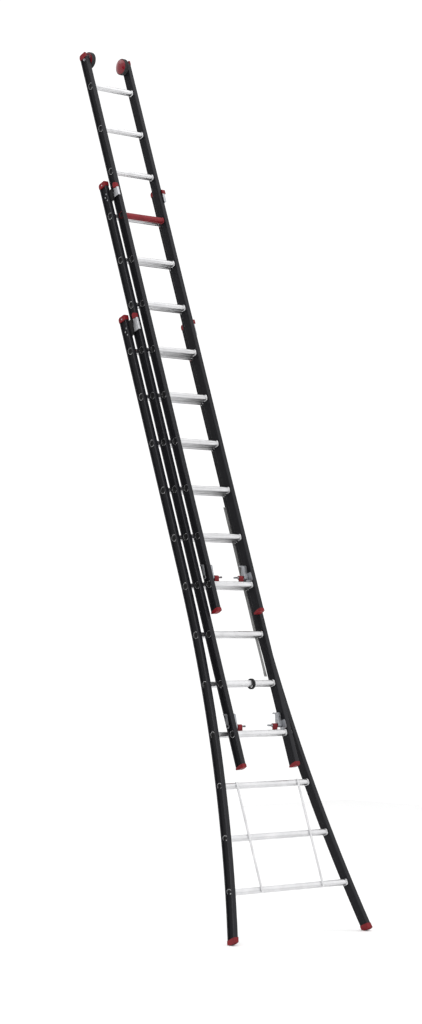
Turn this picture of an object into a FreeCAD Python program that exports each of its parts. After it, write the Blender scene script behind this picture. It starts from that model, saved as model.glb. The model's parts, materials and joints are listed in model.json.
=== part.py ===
import FreeCAD, Part
import math
import os

import Sketcher

# Three-section extension ladder, standing on its feet and leaning back towards a wall.
#
# Every piece is drawn on an upright ladder: +X across the rungs, to the climber's right, +Y from the climber
# towards the wall, +Z along the stiles, with the origin on the floor line midway between the feet. Each
# finished piece then leans back about X. Lengths are in millimetres and angles in degrees.

SIZES = {
    "lean": 20,
    "rung_pitch": 280,
    "first_rung": 270,
    "rungs_raised": 3,
    "hang_drop": 14,
    "section_step": 53,
    "narrowing": 37,
    "base_half_width": 240,
    "base_top": 3559,
    "middle_bottom": 909,
    "middle_top": 4384,
    "upper_bottom": 1763,
    "upper_top": 5209,
    "stile_depth": 56,
    "stile_width": 26,
    "stile_skin": 2.5,
    "recess_depth": 8,
    "flange": 8,
    "flare_start": 2020,
    "flare_radius": 8300,
    "flare_angle": 14.5,
    "foot_cut": 30,
    "rung_depth": 34,
    "rung_height": 32,
    "rung_corner": 12,
    "rung_skin": 2.2,
    "rung_mouth": 10,
    "rung_neck": 14,
    "ring_radius": 19.5,
    "ring_thickness": 1.8,
    "ring_seat": 0.05,
    "cap_skin": 1.5,
    "cap_sleeve": 24,
    "cap_end": 6,
    "sole_radius": 80,
    "sole_flat": 1.2,
    "foot_sleeve": 38,
    "guide_plate": 3,
    "guide_play": 3,
    "guide_lip": 6,
    "lip_reach": 16,
    "guide_seat": 36,
    "guide_top": 37,
    "middle_guide_drop": 23,
    "guide_end": 110,
    "guide_tail": 125,
    "glide_swell": 2,
    "glide_height": 30,
    "glide_clearance": 38,
    "pad_width": 15,
    "pad_depth": 31,
    "collar_skin": 4,
    "collar_length": 6,
    "runner_offset": 216,
    "runner_width": 12,
    "runner_depth": 7,
    "rivet_radius": 4.5,
    "rivet_height": 2,
    "claw_pivot_back": 12,
    "claw_pivot_rise": 46,
    "claw_release": 110,
    "claw_eye": 12,
    "claw_arm": 8,
    "claw_root": 38,
    "claw_lip": 8,
    "claw_hook": 6,
    "claw_chamfer": 5,
    "claw_back": 19,
    "claw_shoulder": 12,
    "outer_claw": 4,
    "inner_claw": 28,
    "claw_play": 1,
    "shaft_radius": 5,
    "shaft_play": 0.05,
    "shaft_reach": 82,
    "plate_skin": 3,
    "plate_top": 22,
    "plate_drop": 26,
    "handle_skin": 4,
    "handle_top": 20,
    "handle_drop": 24,
    "lever_gap": 6,
    "lever_width": 28,
    "lever_boss": 11,
    "lever_length": 24,
    "wheel_drop": 30,
    "wheel_gap": 5,
    "tyre_radius": 48,
    "hub_radius": 44,
    "tyre_width": 26,
    "hub_dome": 12,
    "axle_radius": 6,
    "axle_head": 10,
    "axle_head_height": 5,
    "axle_end_play": 0.5,
    "strap_offset": 144,
    "strap_width": 20,
    "strap_skin": 2,
    "strap_top": 2410,
    "strap_bottom": 1420,
    "clip_offset": 21,
    "clip_sag": 2.8,
    "clip_mouth": 14,
    "clip_inner": 20.5,
    "clip_outer": 29,
    "clip_width": 14,
}

RUNGS = 12
MARKER_RUNG = 9

# How far a cutting tool runs past the face it opens, and a distance beyond every piece.
OVERRUN = 10
FAR = 1000

SIDES = {"left": -1, "right": 1}

doc = FreeCAD.newDocument("extension_ladder")
sheet = doc.addObject("Spreadsheet::Sheet", "dims")
for row, (alias, number) in enumerate(SIZES.items(), start=1):
    sheet.set(f"A{row}", alias)
    sheet.set(f"B{row}", str(number))
    sheet.setAlias(f"B{row}", alias)
doc.recompute()


class Size:
    """A length that carries its value and the sheet formula it comes from."""

    def __init__(self, value, formula):
        self.value = value
        self.formula = formula

    def __add__(self, other):
        other = as_size(other)
        return Size(self.value + other.value, f"({self.formula} + {other.formula})")

    def __sub__(self, other):
        other = as_size(other)
        return Size(self.value - other.value, f"({self.formula} - {other.formula})")

    def __mul__(self, other):
        other = as_size(other)
        return Size(self.value * other.value, f"({self.formula} * {other.formula})")

    def __truediv__(self, other):
        other = as_size(other)
        return Size(self.value / other.value, f"({self.formula} / {other.formula})")

    def __neg__(self):
        return Size(-self.value, f"(0 - {self.formula})")


def as_size(number):
    return number if isinstance(number, Size) else Size(number, repr(number))


def dim(alias):
    return Size(SIZES[alias], f"dims.{alias}")


def root(size):
    return Size(math.sqrt(size.value), f"sqrt({size.formula})")


def place_at(obj, corner):
    """Bind the three coordinates of an object's Placement."""
    for axis, size in zip("xyz", corner):
        obj.setExpression(f"Placement.Base.{axis}", as_size(size).formula)


def block(name, low, high):
    """A box between two corners."""
    box = doc.addObject("Part::Box", name)
    for prop, a, b in zip(("Length", "Width", "Height"), low, high):
        box.setExpression(prop, (as_size(b) - a).formula)
    place_at(box, low)
    return box


def side_block(name, side, near, far, y, z):
    """A box between two distances from the ladder's centre plane, on one side of it."""
    low, high = (near, far) if side > 0 else (-far, -near)
    return block(name, (low, y[0], z[0]), (high, y[1], z[1]))


def rod(name, side, start, length, radius, y, z):
    """A cylinder along X that starts at a distance from the centre plane and runs outwards."""
    cylinder = doc.addObject("Part::Cylinder", name)
    cylinder.setExpression("Radius", as_size(radius).formula)
    cylinder.setExpression("Height", as_size(length).formula)
    turn = FreeCAD.Rotation(FreeCAD.Vector(0, 1, 0), 90 * side)
    cylinder.Placement = FreeCAD.Placement(FreeCAD.Vector(), turn)
    place_at(cylinder, (as_size(start) * side, y, z))
    return cylinder


def fuse(name, *shapes):
    joined = doc.addObject("Part::MultiFuse", name)
    joined.Shapes = list(shapes)
    return joined


def cut(name, base, tool):
    rest = doc.addObject("Part::Cut", name)
    rest.Base = base
    rest.Tool = tool
    return rest


def common(name, base, tool):
    shared = doc.addObject("Part::Common", name)
    shared.Base = base
    shared.Tool = tool
    return shared


def group(name, shapes):
    bundle = doc.addObject("Part::Compound", name)
    bundle.Links = list(shapes)
    return bundle


NODES = []


def node(label, *shapes):
    """A finished sub-part: one or more solids, leaned back about the floor line."""
    part = group(label, shapes)
    part.Label = label
    turn = FreeCAD.Rotation(FreeCAD.Vector(1, 0, 0), -SIZES["lean"])
    part.Placement = FreeCAD.Placement(FreeCAD.Vector(), turn)
    NODES.append(part)
    return part


def add_loop(sketch, corners):
    """A closed polygon whose corners are bound to the sheet."""
    points = [FreeCAD.Vector(as_size(u).value, as_size(v).value, 0) for u, v in corners]
    first = sketch.GeometryCount
    for here, there in zip(points, points[1:] + points[:1]):
        sketch.addGeometry(Part.LineSegment(here, there), False)
    for k, (u, v) in enumerate(corners):
        line = first + k
        following = first + (k + 1) % len(corners)
        sketch.addConstraint(Sketcher.Constraint("Coincident", line, 2, following, 1))
        for kind, size in (("DistanceX", as_size(u)), ("DistanceY", as_size(v))):
            index = sketch.addConstraint(Sketcher.Constraint(kind, -1, 1, line, 1, size.value))
            sketch.setExpression(f"Constraints[{index}]", size.formula)


def sketch_on(name, plane):
    """An empty sketch whose two axes are X and Y, or Y and Z."""
    sketch = doc.addObject("Sketcher::SketchObject", name)
    if plane == "YZ":
        turn = FreeCAD.Rotation(FreeCAD.Vector(1, 1, 1), 120)
        sketch.Placement = FreeCAD.Placement(FreeCAD.Vector(), turn)
    return sketch


def extrude(name, profile, direction, length, symmetric=False):
    """A profile pushed along a direction."""
    solid = doc.addObject("Part::Extrusion", name)
    solid.Base = profile
    solid.DirMode = "Custom"
    solid.Dir = direction
    solid.setExpression("LengthFwd", as_size(length).formula)
    solid.Symmetric = symmetric
    solid.Solid = True
    return solid


# Sections: the rear one is the base, and each one in front is narrower and hooked three rungs higher.

HALF_DEPTH = dim("stile_depth") / 2


class Section:
    """The lines that the pieces of one ladder section are drawn from."""

    def __init__(self, name, order, bottom, top):
        self.name = name
        self.half_width = dim("base_half_width") - dim("narrowing") * order
        self.y = -dim("section_step") * order
        self.front = self.y - HALF_DEPTH
        self.rear = self.y + HALF_DEPTH
        self.inner = self.half_width - dim("stile_width")
        self.floor = self.half_width - dim("recess_depth")
        self.bottom = bottom
        self.top = top
        climb = dim("rung_pitch") * dim("rungs_raised") - dim("hang_drop")
        self.first_rung = dim("first_rung") + climb * order

    def rung_level(self, index):
        return self.first_rung + dim("rung_pitch") * index


BASE = Section("base", 0, dim("foot_cut"), dim("base_top"))
MIDDLE = Section("middle", 1, dim("middle_bottom"), dim("middle_top"))
UPPER = Section("upper", 2, dim("upper_bottom"), dim("upper_top"))


def flare_at(level):
    """How far the base stile has bent outwards at a level below the start of the flare."""
    radius = dim("flare_radius")
    drop = dim("flare_start") - level
    return radius - root(radius * radius - drop * drop)


# Rungs


def rounded_profile(name, depth, height, corner):
    """A rounded rectangle in the YZ plane, centred on the origin."""
    sketch = sketch_on(name, "YZ")
    a = depth.value / 2
    b = height.value / 2
    r = corner.value
    corners = [(a, b, 0), (-a, b, 90), (-a, -b, 180), (a, -b, 270)]
    for x, y, start in corners:
        centre = FreeCAD.Vector(x - math.copysign(r, x), y - math.copysign(r, y), 0)
        circle = Part.Circle(centre, FreeCAD.Vector(0, 0, 1), r)
        arc = Part.ArcOfCircle(circle, math.radians(start), math.radians(start + 90))
        sketch.addGeometry(arc, False)
    for k in range(4):
        here = sketch.getPoint(k, 2)
        there = sketch.getPoint((k + 1) % 4, 1)
        sketch.addGeometry(Part.LineSegment(here, there), False)
    for k in range(4):
        sketch.addConstraint(Sketcher.Constraint("Tangent", k, 2, 4 + k, 1))
        sketch.addConstraint(Sketcher.Constraint("Tangent", 4 + k, 2, (k + 1) % 4, 1))
    for k in range(3):
        sketch.addConstraint(Sketcher.Constraint("Equal", k, k + 1))
    sketch.addConstraint(Sketcher.Constraint("Horizontal", 4))
    sketch.addConstraint(Sketcher.Constraint("Symmetric", 0, 1, 2, 1, -1, 1))
    sizes = (
        (Sketcher.Constraint("Radius", 0, r), corner),
        (Sketcher.Constraint("DistanceX", 1, 2, 0, 1, 2 * a), depth),
        (Sketcher.Constraint("DistanceY", 2, 2, 1, 1, 2 * b), height),
    )
    for constraint, size in sizes:
        index = sketch.addConstraint(constraint)
        sketch.setExpression(f"Constraints[{index}]", size.formula)
    return sketch


RUNG_OUTSIDE = rounded_profile("rung_outside", dim("rung_depth"), dim("rung_height"), dim("rung_corner"))
RUNG_INSIDE = rounded_profile(
    "rung_inside",
    dim("rung_depth") - dim("rung_skin") * 2,
    dim("rung_height") - dim("rung_skin") * 2,
    dim("rung_corner") - dim("rung_skin"),
)


def swaged_ring(name, side, seat, section, level, slope):
    """The ring that the end of a rung is pressed out to, flat on the floor of the stile's recess."""
    ring = doc.addObject("Part::Cylinder", name)
    ring.setExpression("Radius", "dims.ring_radius")
    ring.setExpression("Height", "dims.ring_thickness")
    turn = FreeCAD.Rotation(FreeCAD.Vector(0, 1, 0), side * (90 - slope))
    ring.Placement = FreeCAD.Placement(FreeCAD.Vector(), turn)
    place_at(ring, ((seat + dim("ring_seat")) * side, section.y, level))
    return ring


def rung(name, section, index):
    """One rung, and the outside of its tube, which is also the shape of its hole in the stiles."""
    level = section.rung_level(index)
    seat = section.floor
    slope = 0
    if section is BASE and level.value < SIZES["flare_start"]:
        seat = seat + flare_at(level)
        slope = math.degrees(math.asin((SIZES["flare_start"] - level.value) / SIZES["flare_radius"]))
    reach = seat + dim("ring_thickness")
    outside = extrude(f"{name}_outside", RUNG_OUTSIDE, (1, 0, 0), reach * 2, symmetric=True)
    inside = extrude(f"{name}_inside", RUNG_INSIDE, (1, 0, 0), (seat - dim("rung_neck")) * 2, symmetric=True)
    for tube in (outside, inside):
        place_at(tube, (0, section.y, level))
    rings = [swaged_ring(f"{name}_ring_{k}", side, seat, section, level, slope) for k, side in SIDES.items()]
    mouth = rod(
        f"{name}_mouth", 1, -reach - OVERRUN, (reach + OVERRUN) * 2, dim("rung_mouth"), section.y, level
    )
    pipe = cut(f"{name}_pipe", outside, inside)
    solid = cut(f"{name}_solid", fuse(f"{name}_skin", pipe, *rings), mouth)
    return solid, outside


def rungs(section):
    pairs = [rung(f"{section.name}_rung_{k + 1:02d}", section, k) for k in range(RUNGS)]
    tubes = [pair[0] for pair in pairs]
    holes = group(f"{section.name}_rung_holes", [pair[1] for pair in pairs])
    return tubes, holes


# Stiles


def stile_profile(name, section, side, z):
    """The section of a stile: a box with a channel recessed in its outer side."""
    skin = dim("stile_skin")
    edge = HALF_DEPTH - dim("flange")
    wall = HALF_DEPTH - skin
    chamber = section.floor - skin
    near = section.inner + skin
    outline = [
        (section.inner, -HALF_DEPTH),
        (section.half_width, -HALF_DEPTH),
        (section.half_width, -edge),
        (section.floor, -edge),
        (section.floor, edge),
        (section.half_width, edge),
        (section.half_width, HALF_DEPTH),
        (section.inner, HALF_DEPTH),
    ]
    hollow = [(near, -wall), (chamber, -wall), (chamber, wall), (near, wall)]
    sketch = sketch_on(name, "XY")
    for loop in (outline, hollow):
        add_loop(sketch, [(x * side, y) for x, y in loop])
    place_at(sketch, (0, section.y, z))
    return sketch


def straight_stile(section, where, holes):
    name = f"{section.name}_stile_{where}"
    profile = stile_profile(f"{name}_profile", section, SIDES[where], section.bottom)
    beam = extrude(f"{name}_beam", profile, (0, 0, 1), section.top - section.bottom)
    node(name, cut(f"{name}_drilled", beam, holes))


def bent_down(name, profile, side):
    """The part of a base stile below the start of the flare: its profile swept along one long arc."""
    bend = doc.addObject("Part::Revolution", name)
    bend.Source = profile
    bend.Axis = (0, -side, 0)
    bend.setExpression("Base.x", ((BASE.half_width + dim("flare_radius")) * side).formula)
    bend.setExpression("Base.z", "dims.flare_start")
    bend.setExpression("Angle", "dims.flare_angle")
    bend.Solid = True
    return bend


def below(name, level):
    """A slab that takes away everything under a level."""
    return block(name, (-FAR, -FAR, -FAR), (FAR, FAR, level))


def base_stile(where, holes):
    name = f"base_stile_{where}"
    side = SIDES[where]
    profile = stile_profile(f"{name}_profile", BASE, side, dim("flare_start"))
    beam = extrude(f"{name}_beam", profile, (0, 0, 1), BASE.top - dim("flare_start"))
    bend = bent_down(f"{name}_bend", profile, side)
    whole = fuse(f"{name}_whole", beam, bend)
    trimmed = cut(f"{name}_trimmed", whole, below(f"{name}_end", BASE.bottom))
    node(name, cut(f"{name}_drilled", trimmed, holes))


# Caps, shoes and feet


def stile_cover(label, section, side, end, direction):
    """A plastic cap that sleeves over the end of a stile; direction is 1 at the top and -1 at the bottom."""
    skin = dim("cap_skin")
    sleeve_end = end - dim("cap_sleeve") * direction
    cap_end = end + dim("cap_end") * direction
    levels = (sleeve_end, cap_end) if direction > 0 else (cap_end, sleeve_end)
    mouth = sleeve_end - OVERRUN * direction
    socket = (mouth, end) if direction > 0 else (end, mouth)
    y = (section.front - skin, section.rear + skin)
    outside = side_block(f"{label}_out", side, section.inner - skin, section.half_width + skin, y, levels)
    inside = side_block(
        f"{label}_in", side, section.inner, section.half_width, (section.front, section.rear), socket
    )
    return cut(f"{label}_shell", outside, inside)


def rectangle_at_flare(name, side, grow):
    """The outline of a base stile at the start of the flare, grown by a skin."""
    near = BASE.inner - grow
    far = BASE.half_width + grow
    reach = HALF_DEPTH + grow
    sketch = sketch_on(name, "XY")
    corners = [(near, -reach), (far, -reach), (far, reach), (near, reach)]
    add_loop(sketch, [(x * side, y) for x, y in corners])
    place_at(sketch, (0, 0, dim("flare_start")))
    return sketch


def foot(where):
    """A plastic foot that sleeves over the flared end of a base stile and rocks on a rounded sole."""
    label = f"base_foot_{where}"
    side = SIDES[where]
    skin = dim("cap_skin")
    radius = dim("sole_radius")
    lean = math.radians(SIZES["lean"])
    centre = (radius - dim("sole_flat")) / math.cos(lean)
    grown = bent_down(f"{label}_grown", rectangle_at_flare(f"{label}_outline", side, skin), side)
    inner = bent_down(f"{label}_inner", rectangle_at_flare(f"{label}_socket", side, as_size(0)), side)
    roller = rod(f"{label}_roller", 1, -FAR, FAR * 2, radius, 0, centre)
    rounded = common(f"{label}_rounded", grown, roller)
    body = common(f"{label}_body", rounded, below(f"{label}_sleeve", dim("foot_sleeve")))
    socket = cut(f"{label}_room", inner, below(f"{label}_floor", BASE.bottom))
    shoe = cut(f"{label}_hollowed", body, socket)
    node(label, cut(f"{label}_flat", shoe, ground_slab(f"{label}_ground")))


def ground_slab(name):
    """The floor itself, which is level only once the ladder leans."""
    slab = doc.addObject("Part::Box", name)
    slab.Length = 2 * FAR
    slab.Width = 2 * FAR
    slab.Height = FAR
    turn = FreeCAD.Rotation(FreeCAD.Vector(1, 0, 0), SIZES["lean"])
    slab.Placement = FreeCAD.Placement(turn.multVec(FreeCAD.Vector(-FAR, -FAR, -FAR)), turn)
    return slab


# Guide brackets: each holds the stile of the section in front, and is riveted inside the rear one.


def guide_level(section):
    """Where a guide's plate ends and its red glide starts, which is lower on the middle section."""
    level = section.top - dim("guide_top")
    return level - dim("middle_guide_drop") if section is MIDDLE else level


def guide(where, section, front):
    """A plate through the gap between two stiles, with a lip round the front stile."""
    label = f"{section.name}_guide_{where}"
    side = SIDES[where]
    skin = dim("guide_plate")
    face = section.inner
    lip_rear = front.front - dim("guide_play")
    lip_front = lip_rear - dim("guide_lip")
    levels = (section.top - dim("guide_end"), guide_level(section))
    tail = (section.top - dim("guide_tail"), guide_level(section))
    seat = (section.front, section.front + dim("guide_seat"))
    gap_plate = side_block(f"{label}_side", side, face - skin, face, (lip_front, section.front), levels)
    mount = side_block(f"{label}_mount", side, face - skin, face, seat, tail)
    lip = side_block(f"{label}_lip", side, face - dim("lip_reach"), face, (lip_front, lip_rear), levels)
    node(label, fuse(f"{label}_plate", gap_plate, mount, lip))


def guide_block(where, section):
    """The black block in front of the rear stile, beside the guide's plate."""
    face = section.inner
    levels = (section.top - dim("guide_tail"), guide_level(section))
    y = (section.front - dim("pad_depth"), section.front)
    name = f"{section.name}_guide_block_{where}"
    return side_block(name, SIDES[where], face, face + dim("pad_width"), y, levels)


def guide_tip(where, section, front):
    """The red glide on top of a guide, thicker than the guide's own plate."""
    name = f"{section.name}_guide_tip_{where}"
    side = SIDES[where]
    face = section.inner
    lip_rear = front.front - dim("guide_play")
    lip_front = lip_rear - dim("guide_lip") - dim("glide_swell")
    plate_rear = section.front - dim("glide_clearance")
    level = guide_level(section)
    levels = (level, level + dim("glide_height"))
    near = face - dim("guide_plate")
    far = face + dim("pad_width") / 2
    plate = side_block(f"{name}_side", side, near, far, (lip_front, plate_rear), levels)
    lip = side_block(f"{name}_lip", side, face - dim("lip_reach"), near, (lip_front, lip_rear), levels)
    return fuse(f"{name}_glide", plate, lip)


def collar(where, section):
    """A red collar on the end of the top rung, against the stile."""
    name = f"{section.name}_collar_{where}"
    level = section.rung_level(RUNGS - 1)
    skin = dim("collar_skin")
    deep = dim("rung_depth") / 2
    tall = dim("rung_height") / 2
    near = section.inner - dim("collar_length")
    outside = side_block(
        f"{name}_out",
        SIDES[where],
        near,
        section.inner,
        (section.y - deep - skin, section.y + deep + skin),
        (level - tall - skin, level + tall + skin),
    )
    hole = extrude(f"{name}_hole", RUNG_OUTSIDE, (1, 0, 0), section.half_width * 2, symmetric=True)
    place_at(hole, (0, section.y, level))
    return cut(f"{name}_ring", outside, hole)


def runner_bar(where):
    """A flat bar across the front of the three lowest rungs, which the middle section slides on."""
    label = f"runner_bar_{where}"
    rung_front = -dim("rung_depth") / 2
    overhang = dim("rung_height") / 2
    centre = dim("runner_offset")
    half = dim("runner_width") / 2
    y = (rung_front - dim("runner_depth"), rung_front)
    levels = (BASE.rung_level(0) - overhang, BASE.rung_level(2) + overhang)
    node(label, side_block(f"{label}_bar", SIDES[where], centre - half, centre + half, y, levels))


def rivet(name, side, seat, y, z):
    return rod(name, side, seat, dim("rivet_height"), dim("rivet_radius"), y, z)


# Each guide rivet's distance behind the middle of the stile and below its top.
GUIDE_RIVETS = ((-9, 72), (5, 88), (-7, 110))


def guide_rivets(section):
    """Three rivets in the recess of each rear stile, which hold its guide bracket."""
    heads = []
    for where, side in SIDES.items():
        for k, (back, drop) in enumerate(GUIDE_RIVETS):
            name = f"{section.name}_rivet_{where}_{k + 1}"
            heads.append(rivet(name, side, section.floor, section.y + back, section.top - drop))
    return heads


def cap_screws(section):
    """One screw head in the outer side of each top cap of a section."""
    seat = section.half_width + dim("cap_skin")
    level = section.top - dim("cap_sleeve") / 2
    return [rivet(f"{section.name}_screw_{k}", side, seat, section.y, level) for k, side in SIDES.items()]


# Rung latches: a claw on each side of the stile, on one shaft, swings down over the rung behind.


def latch_axis(section):
    return section.y + dim("claw_pivot_back"), section.rung_level(0) + dim("claw_pivot_rise")


def swing_up(shape, section):
    """Put a piece that was drawn engaged, with the latch's axis at the origin, in its released place."""
    turn = FreeCAD.Rotation(FreeCAD.Vector(1, 0, 0), SIZES["claw_release"])
    shape.Placement = FreeCAD.Placement(FreeCAD.Vector(), turn)
    place_at(shape, (0, *latch_axis(section)))


def claw(name, side, near, thickness):
    """A hook: an eye on the shaft, an arm over the rung behind and a lip down the far side of it."""
    eye = dim("claw_eye")
    arm = dim("claw_arm")
    chamfer = dim("claw_chamfer")
    drop = dim("hang_drop") - dim("claw_pivot_rise")
    over = drop + (dim("rung_height") + dim("claw_play")) / 2
    behind = dim("section_step") - dim("claw_pivot_back") + dim("rung_depth") / 2 + dim("claw_play")
    tip = behind + dim("claw_lip")
    foot_level = drop - dim("claw_hook")
    outline = [
        (-arm, -arm),
        (arm, -eye),
        (behind - dim("claw_root"), over),
        (behind, over),
        (behind, foot_level),
        (tip - chamfer, foot_level),
        (tip, foot_level + chamfer),
        (tip, over + arm),
        (tip - arm, over + dim("claw_shoulder")),
        (behind - dim("claw_root") + arm, over + dim("claw_back")),
        (-arm / 2, eye),
    ]
    sketch = sketch_on(f"{name}_outline", "YZ")
    add_loop(sketch, outline)
    hook = extrude(f"{name}_hook", sketch, (side, 0, 0), thickness)
    place_at(hook, (near * side, 0, 0))
    return fuse(name, hook, rod(f"{name}_eye", side, near, thickness, eye, 0, 0))


def latch(where, section):
    """The moving part of a latch, released: two claws, their shaft with its handle, and the red lever."""
    side = SIDES[where]
    label = f"{section.name}_latch_{where}"
    play = dim("claw_play")
    radius = dim("shaft_radius")
    outer_near = section.half_width + play
    inner_near = section.inner - dim("plate_skin") - play - dim("inner_claw")
    outer = claw(f"{label}_outer", side, outer_near, dim("outer_claw"))
    inner = claw(f"{label}_inner", side, inner_near, dim("inner_claw"))
    start = section.inner - dim("shaft_reach")
    shaft = rod(f"{label}_shaft", side, start, outer_near + dim("outer_claw") - start, radius, 0, 0)
    upright = (-dim("handle_drop"), dim("handle_top"))
    end = start + dim("handle_skin")
    handle = side_block(f"{label}_handle", side, start, end, (-radius, radius), upright)
    whole = fuse(f"{label}_whole", outer, inner, shaft, handle)
    swing_up(whole, section)
    node(label, whole)
    boss_radius = dim("lever_boss")
    far = inner_near - dim("lever_gap")
    near = far - dim("lever_width")
    boss = rod(f"{label}_boss", side, near, dim("lever_width"), boss_radius, 0, 0)
    tongue = side_block(f"{label}_tongue", side, near, far, (-dim("lever_length"), 0), (0, boss_radius))
    bore = rod(f"{label}_bore", side, near - OVERRUN, dim("lever_width") + OVERRUN * 2, radius, 0, 0)
    lever = cut(f"{label}_lever_solid", fuse(f"{label}_lever_body", boss, tongue), bore)
    swing_up(lever, section)
    node(f"{section.name}_lever_{where}", lever)


def shaft_hole(name, section, side):
    """The hole that a latch shaft runs in, through a stile and the plate beside it."""
    radius = dim("shaft_radius") + dim("shaft_play")
    start = section.inner - OVERRUN
    return rod(name, side, start, section.half_width + OVERRUN - start, radius, *latch_axis(section))


def latch_plate(where, section):
    """The bearing plate riveted to the inner side of the stile, round the latch's shaft."""
    name = f"{section.name}_latch_plate_{where}"
    side = SIDES[where]
    level = latch_axis(section)[1]
    near = section.inner - dim("plate_skin")
    y = (section.front + dim("plate_skin"), section.rear - dim("plate_skin"))
    levels = (level - dim("plate_drop"), level + dim("plate_top"))
    plate = side_block(name, side, near, section.inner, y, levels)
    return cut(f"{name}_bored", plate, shaft_hole(f"{name}_hole", section, side))


def shaft_holes(section):
    return [shaft_hole(f"{section.name}_shaft_hole_{k}", section, side) for k, side in SIDES.items()]


# Wall wheels, on the inner side of the upper section's stile ends.


def wheel_level():
    return UPPER.top - dim("wheel_drop")


def wheel_axle(where):
    """A bolt through the end of the stile: a round head outside, a shank, and a washer against the hub."""
    name = f"wheel_axle_{where}"
    side = SIDES[where]
    start = UPPER.inner - dim("wheel_gap") - dim("tyre_width") + dim("axle_end_play")
    seat = UPPER.floor
    level = wheel_level()
    shank = rod(f"{name}_shank", side, start, seat - start, dim("axle_radius"), UPPER.y, level)
    head = rod(f"{name}_head", side, seat, dim("axle_head_height"), dim("axle_head"), UPPER.y, level)
    return fuse(name, shank, head)


def axle_holes():
    start = UPPER.inner - OVERRUN
    length = UPPER.half_width + OVERRUN - start
    radius = dim("axle_radius")
    return [rod(f"axle_hole_{k}", s, start, length, radius, UPPER.y, wheel_level()) for k, s in SIDES.items()]


def wheel(where):
    """A rubber tyre round a hub whose inner side is domed."""
    side = SIDES[where]
    width = dim("tyre_width")
    far = UPPER.inner - dim("wheel_gap")
    near = far - width
    y = UPPER.y
    z = wheel_level()
    hub_radius = dim("hub_radius")
    tyre = rod(f"tyre_{where}_disc", side, near, width, dim("tyre_radius"), y, z)
    seat = rod(f"tyre_{where}_seat", side, near - OVERRUN, width + OVERRUN * 2, hub_radius, y, z)
    node(f"wheel_tyre_{where}", cut(f"tyre_{where}_ring", tyre, seat))
    dome = dim("hub_dome")
    ball_radius = (hub_radius * hub_radius + dome * dome) / (dome * 2)
    disc = rod(f"hub_{where}_disc", side, near - dome, width + dome, hub_radius, y, z)
    ball = doc.addObject("Part::Sphere", f"hub_{where}_ball")
    ball.setExpression("Radius", ball_radius.formula)
    place_at(ball, ((near - dome + ball_radius) * side, y, z))
    body = common(f"hub_{where}_body", disc, ball)
    bore_radius = dim("axle_radius") + dim("shaft_play")
    bore = rod(f"hub_{where}_bore", side, near, width + OVERRUN, bore_radius, y, z)
    node(f"wheel_hub_{where}", cut(f"hub_{where}_bored", body, bore))


# Spreader straps and the clip ring, on the middle section.


def strap(where):
    """Webbing that lies on the rear faces of the middle section's rungs, beside the stile."""
    near = dim("strap_offset")
    rear_of_rungs = MIDDLE.y + dim("rung_depth") / 2
    y = (rear_of_rungs, rear_of_rungs + dim("strap_skin"))
    levels = (dim("strap_bottom"), dim("strap_top"))
    label = f"spreader_strap_{where}"
    node(label, side_block(f"{label}_web", SIDES[where], near, near + dim("strap_width"), y, levels))


def clip_ring():
    """A band clipped round the second rung of the middle section, split at the rear, which hangs on it."""
    level = MIDDLE.rung_level(1) - dim("clip_sag")
    width = dim("clip_width")
    start = dim("clip_offset") - width / 2
    half_mouth = dim("clip_mouth") / 2
    outer = rod("clip_ring_outer", 1, start, width, dim("clip_outer"), MIDDLE.y, level)
    inner = rod("clip_ring_inner", 1, start - width, width * 3, dim("clip_inner"), MIDDLE.y, level)
    slot = block(
        "clip_ring_slot",
        (start - width, MIDDLE.y, level - half_mouth),
        (start + width * 2, MIDDLE.y + dim("clip_outer") * 2, level + half_mouth),
    )
    node("clip_ring", cut("clip_ring_band", outer, fuse("clip_ring_opening", inner, slot)))


# Assembly


def both(build, *arguments):
    return [build(where, *arguments) for where in SIDES]


base_tubes, base_holes = rungs(BASE)
middle_tubes, middle_holes = rungs(MIDDLE)
upper_tubes, upper_holes = rungs(UPPER)

middle_cuts = group("middle_stile_cuts", [middle_holes] + shaft_holes(MIDDLE))
upper_cuts = group("upper_stile_cuts", [upper_holes] + shaft_holes(UPPER) + axle_holes())

FLARED_RUNGS = 6
for index in range(FLARED_RUNGS):
    node(f"base_rung_{index + 1:02d}", base_tubes[index])
node("base_rungs_upper", *base_tubes[FLARED_RUNGS:])
node("middle_rungs", *middle_tubes)
marker = upper_tubes.pop(MARKER_RUNG - 1)
node("upper_rungs", *upper_tubes)
node("marker_rung", marker)

for where, side in SIDES.items():
    base_stile(where, base_holes)
    straight_stile(MIDDLE, where, middle_cuts)
    straight_stile(UPPER, where, upper_cuts)
    foot(where)
    node(f"base_cap_{where}", stile_cover(f"base_cap_{where}", BASE, side, BASE.top, 1))
    node(f"middle_cap_{where}", stile_cover(f"middle_cap_{where}", MIDDLE, side, MIDDLE.top, 1))
    node(f"middle_shoe_{where}", stile_cover(f"middle_shoe_{where}", MIDDLE, side, MIDDLE.bottom, -1))
    upper_cap = stile_cover(f"upper_cap_{where}", UPPER, side, UPPER.top, 1)
    node(f"upper_cap_{where}", upper_cap)
    guide(where, BASE, MIDDLE)
    guide(where, MIDDLE, UPPER)
    runner_bar(where)
    latch(where, MIDDLE)
    latch(where, UPPER)
    wheel(where)
    strap(where)

node("upper_shoes", *[stile_cover(f"upper_shoe_{k}", UPPER, s, UPPER.bottom, -1) for k, s in SIDES.items()])
for section, front in ((BASE, MIDDLE), (MIDDLE, UPPER)):
    node(f"{section.name}_guide_blocks", *both(guide_block, section))
    node(f"{section.name}_guide_tips", *both(guide_tip, section, front))
    node(f"{section.name}_collars", *both(collar, section))
    node(f"{section.name}_rivets", *guide_rivets(section), *cap_screws(section))
node("middle_latch_plates", *both(latch_plate, MIDDLE))
node("upper_latch_plates", *both(latch_plate, UPPER))
node("wheel_axles", *both(wheel_axle))
clip_ring()

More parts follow.
